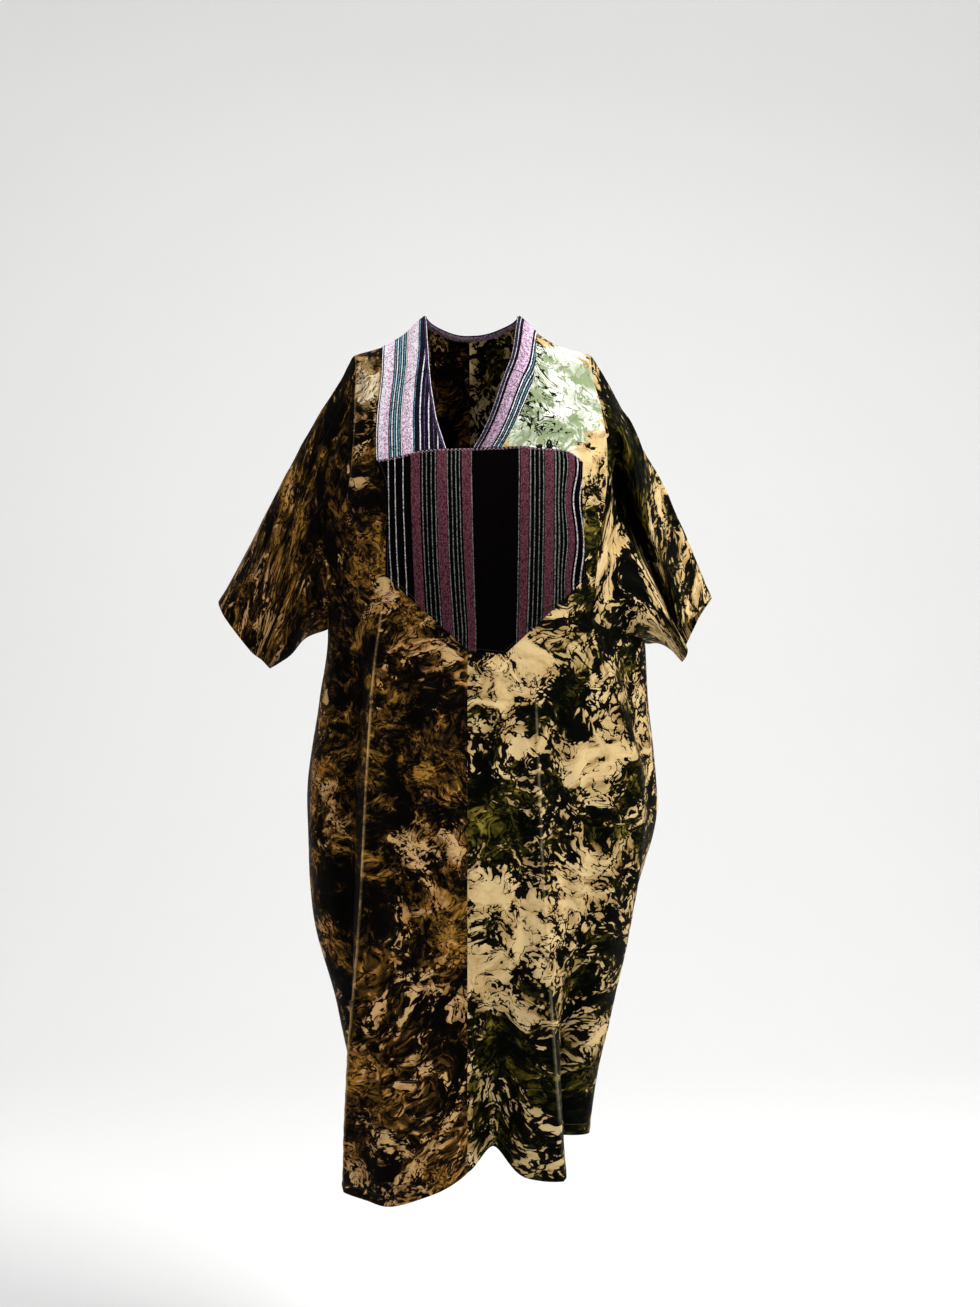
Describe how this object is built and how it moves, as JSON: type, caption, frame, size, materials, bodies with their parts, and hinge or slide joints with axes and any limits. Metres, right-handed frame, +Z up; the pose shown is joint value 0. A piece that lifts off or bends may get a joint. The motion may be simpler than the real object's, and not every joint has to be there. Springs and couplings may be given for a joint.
{
  "type": "adire dress",
  "caption": "Loose calf-length dress of two resist-dyed cottons joined down the middle, with short sleeves, a striped neckband and a pointed striped chest panel, hollow as worn.",
  "frame": {"origin": "midway between the shoulders, at the height of the shoulder tips, in the plane of the side seams", "axes": "+X towards the wearer's left, -Y towards the front, +Z up"},
  "size_m": [0.6457, 0.3114, 1.1274],
  "materials": {
    "brown_adire": "cotton with a soft beaten sheen, resist-dyed in brown-black over ochre",
    "green_adire": "cotton with a soft beaten sheen, resist-dyed in olive and black over cream",
    "chest_stripe": "strip-woven cotton, maroon-black with mauve and white stripes",
    "neck_stripe": "strip-woven cotton, lilac, teal and navy stripes"
  },
  "bodies": {
    "root": {"front_right_yoke": "brown_adire", "front_right_bodice": "brown_adire", "front_right_waist": "brown_adire", "front_right_skirt": "brown_adire", "front_left_yoke": "green_adire", "front_left_bodice": "green_adire", "front_left_waist": "green_adire", "front_left_skirt": "green_adire", "back_right_yoke": "brown_adire", "back_right_bodice": "brown_adire", "back_right_waist": "brown_adire", "back_right_skirt": "brown_adire", "back_left_yoke": "green_adire", "back_left_bodice": "green_adire", "back_left_waist": "green_adire", "back_left_skirt": "green_adire", "sleeve_right": "brown_adire", "sleeve_left": "green_adire", "chest_panel": "chest_stripe", "neckband_right": "neck_stripe", "neckband_left": "neck_stripe", "neckband_back": "neck_stripe"}
  },
  "joints": []
}
